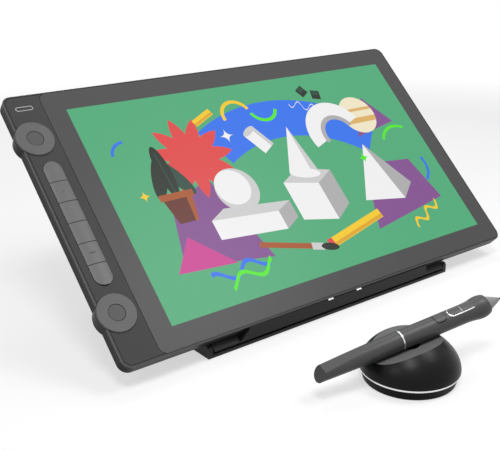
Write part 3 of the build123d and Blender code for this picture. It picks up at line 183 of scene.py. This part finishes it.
def new_piece(name, points, faces, finish):
    """A smooth mesh in the scene from an array of points and lists of their numbers."""
    mesh = bpy.data.meshes.new(name)
    mesh.from_pydata(points.reshape(-1, 3).tolist(), [], faces)
    mesh.materials.append(finish.owner)
    mesh.polygons.foreach_set("use_smooth", [True] * len(mesh.polygons))
    piece = bpy.data.objects.new(name, mesh)
    bpy.context.scene.collection.objects.link(piece)
    return piece


def ring_faces(rings, steps):
    """Quads between rings of points, each ring closed on itself, from the middle outward."""
    ring, step = np.meshgrid(np.arange(rings - 1), np.arange(steps), indexing="ij")
    here, outside, beside = ring * steps, (ring + 1) * steps, (step + 1) % steps
    quads = np.stack((here + step, here + beside, outside + beside, outside + step), -1)
    return quads.reshape(-1, 4).tolist()


floor_radius = 4000 * mm
floor_rings = 40
floor_steps = 96
floor_hole = 0.1 * mm
paper_white = grey(246)
paper_bounce = grey(150)
paper_bright_from = 350 * mm
paper_bright_to = 1100 * mm
paper_lift = 0.6
paper_roughness = 0.95
room_white = grey(255)
room_light = 0.26

# Angles in degrees, distances and sizes in metres, power in watts
softboxes = {
    "above": {"azimuth": -38, "elevation": 60, "distance": 1.4, "size": 0.4, "power": 8.5},
    "right": {"azimuth": 38, "elevation": 53, "distance": 0.8, "size": 0.3, "power": 2.6},
    "left": {"azimuth": -78, "elevation": 38, "distance": 1.5, "size": 0.3, "power": 2.2},
    "behind": {"azimuth": 135, "elevation": 62, "distance": 1.4, "size": 0.5, "power": 3},
    "low": {"azimuth": 165, "elevation": 8, "distance": 1.6, "size": 0.6, "power": 4},
}


def seen_rays(finish):
    """1 for what the camera sees, itself or in a shiny or clear surface, and 0 for lighting."""
    kinds = ("Is Camera Ray", "Is Glossy Ray", "Is Transmission Ray")
    camera_ray, glossy_ray, clear_ray = [
        finish.node("ShaderNodeLightPath", {}, {}, out=kind) for kind in kinds
    ]
    return camera_ray | glossy_ray | clear_ray


# The paper looks white everywhere. Near the object it keeps a part of the shadow, and further
# out it glows more and more, until nothing falls on it.
paper = new_finish("studio_paper")
seen = seen_rays(paper)
sockets = {0: paper.place(unit=1.0)}
around = paper.node("ShaderNodeVectorMath", {"operation": "LENGTH"}, sockets, out="Value")
bright = (around - paper_bright_from) / (paper_bright_to - paper_bright_from)
paper_skin = paper.shader(
    Base_Color=paper.mix(seen, paper_bounce, paper_white),
    Roughness=paper_roughness,
    Specular_IOR_Level=0.0,
)
paper_glow = paper.node("ShaderNodeEmission", {}, {"Color": room_white, "Strength": 1.0})
share = paper.node("ShaderNodeClamp", {}, {0: (bright | paper_lift) * seen})
mixed = paper.node("ShaderNodeMixShader", {}, {0: share, 1: paper_skin, 2: paper_glow})
paper.put(paper.tree.nodes["Material Output"].inputs[0], mixed)

# The floor is level rings of points, and a ring's radius grows with the square of its number.
ring_radius = np.linspace(0, 1, floor_rings)[:, None] ** 2 * floor_radius + floor_hole
ring_angle = np.linspace(0, 2 * pi, floor_steps, endpoint=False)
floor_x, floor_y = ring_radius * np.cos(ring_angle), ring_radius * np.sin(ring_angle)
floor_points = np.stack((floor_x, floor_y, np.zeros_like(floor_x)), -1)
floor_faces = ring_faces(floor_rings, floor_steps)
new_piece("studio_floor", floor_points, floor_faces, paper)

room = Finish(bpy.data.worlds.new("studio_room"))
bpy.context.scene.world = room.owner
backdrop = room.tree.nodes["Background"]
room.put(backdrop.inputs["Color"], room_white)
room.put(backdrop.inputs["Strength"], seen_rays(room) * (1 - room_light) + room_light)

for name, box in softboxes.items():
    lamp_data = bpy.data.lights.new("softbox_" + name, "AREA")
    lamp_data.shape = "SQUARE"
    lamp_data.size = box["size"]
    lamp_data.energy = box["power"]
    lamp = bpy.data.objects.new("softbox_" + name, lamp_data)
    bpy.context.scene.collection.objects.link(lamp)
    toward = outward(radians(box["azimuth"]), radians(box["elevation"]))
    lamp.location = looked_at + toward * box["distance"]
    lamp.rotation_euler = toward.to_track_quat("Z", "Y").to_euler()


# The stand: a tray, a hinged deck and a prop of black moulded plastic. The mould's skin is
# spark-eroded, so the faces have a fine even grain and only a dull shine.
cloud_size = 24
pit_roughness = 0.12


def dress(finish, *nodes):
    """Give CAD nodes this finish."""
    for node in nodes:
        for place in frame["nodes"][node].material_slots:
            place.material = finish.owner


def tinted(colour, share):
    """A colour made lighter or darker by a share of itself."""
    return tuple(part * share for part in colour[:3]) + (1.0,)


def moulded(
    name, colour, roughness, grain=0.35, depth=0.012, clouds=0.05, shine=0.5, retouch=None
):
    """Moulded plastic: faint clouds in the colour, and pits of the mould's grain.

    The grain's size and depth are in millimetres. A retouch is a function that takes the
    finish and its paint and gives the changed paint.
    """
    finish = new_finish(name)
    where = finish.place()
    cloud = finish.noise(where, cloud_size, detail=3)
    paint = finish.mix(cloud, tinted(colour, 1 - 2 * clouds), tinted(colour, 1 + 2 * clouds))
    pits = finish.noise(where, grain)
    finish.shader(
        Base_Color=retouch(finish, paint) if retouch else paint,
        Roughness=roughness + (pits - 0.5) * pit_roughness,
        Specular_IOR_Level=shine,
        Normal=finish.bump(pits, depth * mm),
    )
    return finish


stand_black = moulded("stand_black", grey(42), 0.5, grain=0.5, shine=0.2)
lip_black = moulded("lip_black", grey(26), 0.42, shine=0.08)
dress(stand_black, "base_tray", "deck_plate", "prop_leg", "rack_strips")
dress(lip_black, "lip")

# The two white inserts in the lip show where the tablet's middle goes. They are moulded in
# white plastic and pressed into their recesses, flush with the lip.
mark_white = moulded("mark_white", grey(250), 0.4)
dress(mark_white, "lip_marks")

# Feet and pads keep the tablet, the stand and the pen holder from sliding. They are soft
# black rubber, glued into their recesses: dull and slightly dusty.
rubber_black = moulded(
    "rubber_black", grey(40), 0.85, grain=0.8, depth=0.03, clouds=0.15, shine=0.25
)
dress(rubber_black, "base_feet", "deck_pads", "tablet_feet", "holder_pad")


# Pins, the prop's rod and the case screws are turned steel: fine rings round the bar, and a
# bright but blurred shine. The hinge's washers are white nylon.
tint_size = 6
tint_share = 0.9
line_roughness = 0.15


def turned(name, colour, roughness, line=0.12, depth=0.004):
    """Bare metal with fine tool marks, whose size and depth are in millimetres."""
    finish = new_finish(name)
    where = finish.place()
    lines = finish.noise(where, line, detail=1)
    tint = finish.noise(where, tint_size)
    finish.shader(
        Base_Color=finish.mix(tint, tinted(colour, tint_share), colour),
        Metallic=1.0,
        Roughness=roughness + (lines - 0.5) * line_roughness,
        Normal=finish.bump(lines, depth * mm),
    )
    return finish


steel_pin = turned("steel_pin", grey(190), 0.3)
dress(steel_pin, "hinge_pins", "prop_pin", "prop_rod", "case_screws")
washer_nylon = moulded("washer_nylon", grey(205), 0.55)
dress(washer_nylon, "hinge_washers")


# The tablet's case: a back shell and a thin front frame, painted dark grey over plastic.
# The paint is satin. Painted light makes the frame's front lighter than its sides, and a
# painted highlight along its chamfer draws a fine pale line round the tablet.
lift = next(joint for joint in frame["joints"] if joint["name"] == "tablet_lift")
tablet_tilt = atan2(-lift["axis"][1], lift["axis"][2])
front_height = 25.38
rim_chamfer = 0.7
edge_margin = 0.014
# Painted light: the frame's front face gets a lighter grey, and its chamfer a painted highlight.
painted_front_light_grey = grey(60)
painted_chamfer_highlight = grey(104)


def on_tablet(finish):
    """Millimetres across the tablet, up along its slope and square to its front."""
    return finish.axes(finish.place(turn=(tablet_tilt, 0, 0)))


def painted_rim_light(finish, paint):
    """The frame's side paint below, a painted highlight on the chamfer above it, and the front
    painted lighter as painted light.
    """
    height = on_tablet(finish)[2] - front_height
    edged = finish.mix(height > edge_margin - rim_chamfer, paint, painted_chamfer_highlight)
    return finish.mix(height > -edge_margin, edged, painted_front_light_grey)


case_black = moulded("case_black", grey(36), 0.38, grain=0.3, shine=0.08)
# The frame carries the painted light of its front and the painted highlight of its chamfer.
frame_dark = moulded("frame_dark", grey(36), 0.38, grain=0.3, shine=0.12, retouch=painted_rim_light)
dress(case_black, "rear_cover", "power_key")
dress(frame_dark, "front_frame")

# The control strip is a separate moulded cover, glued on beside the glass and darker than
# it. The small pill key has the same finish.
strip_dark = moulded("strip_dark", grey(54), 0.55, grain=0.25, depth=0.008, shine=0.2)
dress(strip_dark, "control_panel", "pill_key")


# The keys, dials and buttons are moulded in a lighter grey with a silky shine. Painted shade
# darkens the keys' ends at each seam, and the marks sunk in two keys, a dot and a dash, are
# painted darker.
key_pitch = 18.0
key_seam = 155.03
seam_half_width = 0.3
mark_middle = -193.6
mark_width = 0.8
marks = {"dot": {"along": 146.03, "length": 1.0}, "dash": {"along": 92.03, "length": 5.0}}
# Painted shade at the keys' seams, and darker paint in the two sunk marks.
seam_shade_and_mark_grey = grey(36)


def painted_seam_shade(finish, paint):
    """The keys' paint, with painted shade at the ends by each seam of the column, and the sunk
    marks painted darker.
    """
    across, along, _ = on_tablet(finish)
    dark = (along - key_seam).math("PINGPONG", key_pitch / 2) < seam_half_width
    for mark in marks.values():
        in_length = abs(across - mark_middle) < mark["length"] / 2
        dark = dark | in_length * (abs(along - mark["along"]) < mark_width / 2)
    return finish.mix(dark, paint, seam_shade_and_mark_grey)


key_dark = moulded(
    "key_dark", grey(92), 0.42, grain=0.25, depth=0.006, shine=0.35, retouch=painted_seam_shade
)
dial_dark = moulded("dial_dark", grey(90), 0.5, grain=0.25, depth=0.006, shine=0.25)
button_dark = moulded("button_dark", grey(76), 0.5, grain=0.25, depth=0.006, shine=0.25)
dress(key_dark, *(f"key_{number}" for number in range(1, 7)))
dress(dial_dark, "dial_upper", "dial_lower")
dress(button_dark, "dial_upper_button", "dial_lower_button")

# The rings round the pill key, the pen and its holder, and the frame of the pen's rocker,
# are zinc, chromed bright and pressed into their seats.
trim_chrome = turned("trim_chrome", grey(230), 0.24, line=2.5, depth=0.002)
dress(trim_chrome, "pill_ring", "pen_ring", "holder_ring", "pen_rocker_frame")


# The layers behind the glass, from the panel to the shield. None of them shows while the
# tablet is closed, but each has the finish of the real sheet.
panel_layer = moulded("panel_layer", srgb(28, 30, 36), 0.2, grain=0.3, depth=0.001)
backlight_white = moulded("backlight_white", grey(235), 0.5)
sheet_copper = turned("sheet_copper", srgb(186, 120, 78), 0.35, line=1.5)
shield_steel = turned("shield_steel", grey(170), 0.35, line=0.8)
tape_black = moulded("tape_black", grey(20), 0.7)
dress(panel_layer, "display_panel")
dress(backlight_white, "backlight")
dress(sheet_copper, "digitizer_sheet")
dress(shield_steel, "shield_plate")
dress(tape_black, "glass_tape")

# The boards with their green mask, the amber flat cables between them, the sockets' steel
# shells, the silicone mat under the keys and the encoders under the dials.
board_green = moulded("board_green", srgb(26, 82, 48), 0.35, grain=0.6)
mat_silicone = moulded("mat_silicone", grey(150), 0.7)
encoder_black = moulded("encoder_black", grey(40), 0.5)
cable_amber = moulded("cable_amber", srgb(196, 128, 40), 0.3)
socket_steel = turned("socket_steel", grey(185), 0.28)
dress(board_green, "main_board", "control_board", "pen_board")
dress(mat_silicone, "key_mat")
dress(encoder_black, "dial_upper_encoder", "dial_lower_encoder")
dress(cable_amber, "ribbon_cables")
dress(socket_steel, "usb_sockets")


# The cover glass: etched so that a pen drags on it as on paper. Outside the lit picture its
# back is printed dark grey. The picture is a still life of plaster solids, paper shapes and
# ribbons, worked out as flat shapes laid one over another.
glass_low, glass_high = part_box("cover_glass")
glass_middle = (glass_low + glass_high) / 2
picture_half_width = 174.8
picture_half_height = 98.35
printed_grey = grey(61)
glass_roughness = 0.43
glass_shine = 0.28
glass_veil = 0.046
etching_size = 0.12
etching_depth = 0.002
etching_roughness = 0.1
no_light = (0.0, 0.0, 0.0, 1.0)

glass_etched = new_finish("glass_etched")
on_glass = glass_etched.place(glass_middle, (tablet_tilt, 0, 0))


def spot(x, y, turn=0.0, stretch=1.0):
    """Coordinates about a place in the picture, turned by degrees and flattened across."""
    sockets = {
        "Vector": on_glass,
        "Location": (x, y, 0),
        "Rotation": (0, 0, radians(turn)),
        "Scale": (1, stretch, 1),
    }
    local = glass_etched.node("ShaderNodeMapping", {"vector_type": "TEXTURE"}, sockets)
    return glass_etched.axes(local)[:2]


def block(x, y, half_width, half_height, turn=0.0):
    """A rectangle."""
    u, v = spot(x, y, turn)
    return (abs(u) < half_width) * (abs(v) < half_height)


def disc(x, y, radius, turn=0.0, stretch=1.0):
    """A circle, or an ellipse whose second half-axis is stretch times the radius."""
    u, v = spot(x, y, turn, stretch)
    return u * u + v * v < radius * radius


def arc(x, y, radius, half_width, start, end):
    """A stroke along a circle, from one direction to another in degrees, at most half of it."""
    u, v = spot(x, y, (start + end) / 2)
    reach = (u * u + v * v).math("SQRT")
    return (abs(reach - radius) < half_width) * (u > reach * cos(radians(end - start) / 2))


def wave(x, y, half_length, half_width, swing, length, turn=0.0):
    """A stroke along a sine curve."""
    u, v = spot(x, y, turn)
    crest = (u * (2 * pi / length)).math("SINE") * swing
    return (abs(v - crest) < half_width) * (abs(u) < half_length)


def polygon(*corners):
    """A convex shape from its corners, counterclockwise: a product of half planes."""
    u, v = spot(0, 0)
    inside = None
    for (x0, y0), (x1, y1) in zip(corners, corners[1:] + corners[:1]):
        side = u * (y1 - y0) - v * (x1 - x0) < x0 * (y1 - y0) - y0 * (x1 - x0)
        inside = side if inside is None else inside * side
    return inside


def sparkle(x, y, size):
    """A four-pointed star: the sum of the square roots of both distances stays under a limit."""
    u, v = spot(x, y)
    return abs(u).math("SQRT") + abs(v).math("SQRT") < sqrt(size)


def burst(x, y, radius, points, depth_share):
    """A star with many straight rays: the radius falls and rises evenly with the angle."""
    u, v = spot(x, y)
    turns = v.math("ARCTAN2", u) * (points / (2 * pi))
    saw = abs(turns - turns.math("ROUND")) * 2
    reach = (u * u + v * v).math("SQRT")
    return reach < radius * (1 - saw * depth_share)


def lit_colour(red, green, blue):
    """Colour of a lit place in the picture, less the light that the glass reflects over it."""
    parts = srgb(red, green, blue)[:3]
    return tuple(max(part - glass_veil, 0.0) for part in parts) + (1.0,)


meadow_green = lit_colour(92, 174, 128)
paper_blue = lit_colour(70, 122, 236)
paper_purple = lit_colour(137, 92, 150)
paper_red = lit_colour(224, 84, 84)
plum_pink = lit_colour(204, 78, 152)
bottle_green = lit_colour(44, 66, 58)
leaf_shade = lit_colour(64, 88, 78)
cream = lit_colour(240, 230, 200)
tan = lit_colour(222, 180, 110)
butter = lit_colour(245, 204, 30)
mustard = lit_colour(224, 170, 30)
earth = lit_colour(112, 67, 45)
rust = lit_colour(172, 96, 62)
lime = lit_colour(96, 232, 40)
chalk = lit_colour(240, 240, 240)
chalk_shade = lit_colour(206, 206, 206)
chalk_dark = lit_colour(176, 176, 176)

# Each shape lies over those before it.
layers = [
    # Large paper shapes at the back: a blue arch, a purple range and a pink slope
    (arc(10, -96, 152, 20, 48, 118), paper_blue),
    (polygon((-142, -58), (-60, -70), (-84, 12), (-128, -6)), paper_purple),
    (polygon((58, -74), (152, -60), (140, -14), (84, -8)), paper_purple),
    (polygon((96, 20), (150, 30), (128, 62)), paper_purple),
    (polygon((-150, -62), (-96, -66), (-128, -34)), plum_pink),
    (burst(-86, 34, 40, 11, 0.42), paper_red),
    # A striped sun and a ring of ribbon
    (disc(112, 44, 21), cream),
    (disc(112, 44, 21) * block(112, 38, 22, 3), tan),
    (disc(112, 44, 21) * block(112, 50, 22, 1.6), tan),
    (arc(-22, 66, 15, 1.7, 20, 190), butter),
    (arc(7, 71.5, 15, 1.7, 200, 340), lime),
    # Leaves in a brown pot
    (disc(-126, 22, 22, 70, 0.3), bottle_green),
    (disc(-112, 20, 22, 120, 0.3), leaf_shade),
    (disc(-119, 26, 25, 92, 0.26), bottle_green),
    (block(-119, 24, 21, 0.5, 92), leaf_shade),
    (polygon((-128, -22), (-110, -22), (-105, 2), (-133, 2)), earth),
    (polygon((-113, -22), (-110, -22), (-105, 2), (-111, 2)), rust),
    (block(-119, 3, 16, 3), rust),
    # The plaster solids: a slab with a ball on it, cube, cone, pyramid, drum and arch
    (polygon((-100, -44), (-34, -50), (-34, -32), (-100, -26)), chalk),
    (polygon((-34, -50), (-18, -42), (-18, -25), (-34, -32)), chalk_dark),
    (polygon((-100, -26), (-34, -32), (-18, -25), (-84, -18)), chalk_shade),
    (disc(-62, -4, 21), chalk_shade),
    (disc(-65, -1, 17), chalk),
    (polygon((-14, -46), (22, -54), (22, -16), (-14, -8)), chalk),
    (polygon((22, -54), (42, -42), (42, -6), (22, -16)), chalk_dark),
    (polygon((-14, -8), (22, -16), (42, -6), (8, 3)), chalk_shade),
    (polygon((-2, 0), (30, -7), (22, 46)), chalk),
    (polygon((22, -7), (30, -7), (22, 46)), chalk_shade),
    (disc(14, -3.5, 16.4, -12, 0.3), chalk),
    (polygon((62, -44), (108, -52), (96, 12)), chalk),
    (polygon((108, -52), (126, -38), (96, 12)), chalk_dark),
    (arc(76, 30, 26, 8, 20, 200), chalk),
    (arc(78, 28, 18.5, 2.4, 20, 200), chalk_dark),
    (block(-14, 38, 8, 12, 30), chalk),
    (block(-8.8, 41, 2, 12, 30), chalk_shade),
    (disc(-20, 48.4, 8, 30, 0.4), chalk_shade),
    # A pencil and a brush laid across the picture's foot
    (block(36, -66, 34, 4.6, 12), butter),
    (block(36.5, -68.4, 34, 1.6, 12), mustard),
    (polygon((67.6, -64), (69.6, -54.9), (82, -56.2)), cream),
    (polygon((77, -58.9), (77.8, -55.8), (82, -56.2)), bottle_green),
    (block(0.5, -73.6, 3, 4.8, 12), paper_red),
    (block(-44, -64, 26, 2.6, -16), rust),
    (block(-15, -72.4, 6, 3.4, -16), chalk_shade),
    (disc(-3, -75.8, 9, -16, 0.4), bottle_green),
    # Ribbons, sparkles and small blocks
    (wave(-96, -72, 28, 2, 5, 34, 6), paper_blue),
    (wave(-88, -78, 24, 1.9, -5, 36, 10), lime),
    (wave(122, -72, 22, 1.7, 4, 20, 24), butter),
    (wave(60, 62, 22, 0.5, 4, 15, -20), chalk),
    (arc(146, 0, 24, 1.5, 60, 150), lime),
    (arc(138, -22, 20, 1.5, -60, 20), paper_blue),
    (arc(-142, 46, 14, 1.3, 90, 170), paper_blue),
    (sparkle(-44, 48, 8), chalk),
    (sparkle(88, -2, 7), lime),
    (sparkle(-146, 8, 6), butter),
    (block(62, 80, 5, 5, 30), bottle_green),
    (block(62, 82, 3.4, 2.4, 30), leaf_shade),
    (block(76, 74, 5, 5, -14), bottle_green),
    (block(76, 76, 3.4, 2.4, -14), leaf_shade),
    (block(-58, 70, 12, 3.4, 24), butter),
    (block(-57.4, 68.6, 12, 1.2, 24), mustard),
]
picture = meadow_green
for shape, colour in layers:
    picture = glass_etched.mix(shape, picture, colour)

across, along, through = glass_etched.axes(on_glass)
lit = (abs(across) < picture_half_width) * (abs(along) < picture_half_height) * (through > 0)
etching = glass_etched.noise(on_glass, etching_size, detail=1)
glass_etched.shader(
    Base_Color=glass_etched.mix(lit, printed_grey, no_light),
    Roughness=glass_roughness + (etching - 0.5) * etching_roughness,
    Specular_IOR_Level=glass_shine,
    Emission_Color=glass_etched.mix(lit, no_light, picture),
    Emission_Strength=1.0,
    Normal=glass_etched.bump(etching, etching_depth * mm),
)
dress(glass_etched, "cover_glass")


# The pen holder: a black dome over a heavy foot, with the chrome ring between them. The dome
# is polished outside and satin in the saddle, which is a part of a cylinder along the pen and
# painted light grey as a painted reflection.
saddle_middle = Vector((-41.0, -118.4, 64.9)) * mm
saddle_radius = 40.1
pen_pitch = radians(9.1)
pen_yaw = radians(-12)
dome_grey = grey(6)
dome_roughness = 0.35
dome_shine = 0.16
# Painted reflection: the saddle's light grey stands in for a lamp's light reflected in it.
saddle_reflection_grey = grey(102)
satin_roughness = 0.55
satin_size = 0.3
satin_depth = 0.01

dome_black = new_finish("dome_black")
by_saddle = dome_black.place(saddle_middle, (0, -pen_pitch, pen_yaw))
_, beside, above = dome_black.axes(by_saddle)
in_saddle = beside * beside + above * above < saddle_radius * saddle_radius
satin_grain = dome_black.noise(dome_black.place(), satin_size)
dome_black.shader(
    Base_Color=dome_black.mix(in_saddle, dome_grey, saddle_reflection_grey),
    Roughness=in_saddle * (satin_roughness - dome_roughness) + dome_roughness,
    Specular_IOR_Level=dome_shine,
    Normal=dome_black.bump(satin_grain * in_saddle, satin_depth * mm),
)
foot_black = moulded("foot_black", grey(8), 0.5, shine=0.08)
weight_iron = turned("weight_iron", grey(110), 0.5, line=0.6)
dress(dome_black, "holder_dome")
dress(foot_black, "holder_foot")
dress(weight_iron, "holder_weight")


# The pen: a soft-touch skin over a hard shell, with a finer hard plastic on its tip, button
# and rocker. The nib is hard black plastic, the rocker's divider is dull chrome, and the
# coil's wire is bare copper.
button_middle = Vector((-13.8, -124.2, 36.5)) * mm
button_length = 9.2
button_width = 8.2
button_corner = 2.8
button_gap = 0.2
# Painted shade: a dark line painted on the pen round its button, where the gap is.
outline_width = 0.7
gap_shade_black = grey(20)
pen_roll = radians(15)


def painted_gap_shade(finish, paint):
    """The pen's paint, with painted shade along the gap round its button."""
    by_button = finish.place(button_middle, (pen_roll, -pen_pitch, pen_yaw))
    along, across, above = finish.axes(by_button)
    past_end = (abs(along) - (button_length / 2 - button_corner)) | 0.0
    past_side = (abs(across) - (button_width / 2 - button_corner)) | 0.0
    reach = (past_end * past_end + past_side * past_side).math("SQRT")
    in_line = abs(reach - (button_corner + button_gap / 2)) < outline_width / 2
    return finish.mix(in_line * (above > 0), paint, gap_shade_black)


# The pen's skin and button carry the painted shade round the button's gap.
pen_dark = moulded(
    "pen_dark", grey(68), 0.38, grain=0.3, depth=0.006, shine=0.3, retouch=painted_gap_shade
)
pen_black = moulded(
    "pen_black", grey(76), 0.4, grain=0.3, depth=0.006, shine=0.25, retouch=painted_gap_shade
)
cone_grey = moulded("cone_grey", grey(128), 0.36, grain=0.3, depth=0.004, shine=0.3)
nib_black = moulded("nib_black", grey(44), 0.45)
inlay_chrome = turned("inlay_chrome", grey(140), 0.4, line=2.5, depth=0.002)
copper_wire = turned("copper_wire", srgb(196, 116, 66), 0.3)
dress(pen_dark, "pen_tail", "pen_grip")
dress(pen_black, "pen_rocker", "pen_button")
dress(inlay_chrome, "pen_rocker_inlay")
dress(cone_grey, "pen_cone")
dress(nib_black, "pen_nib", "spare_nibs")
dress(copper_wire, "pen_coil")
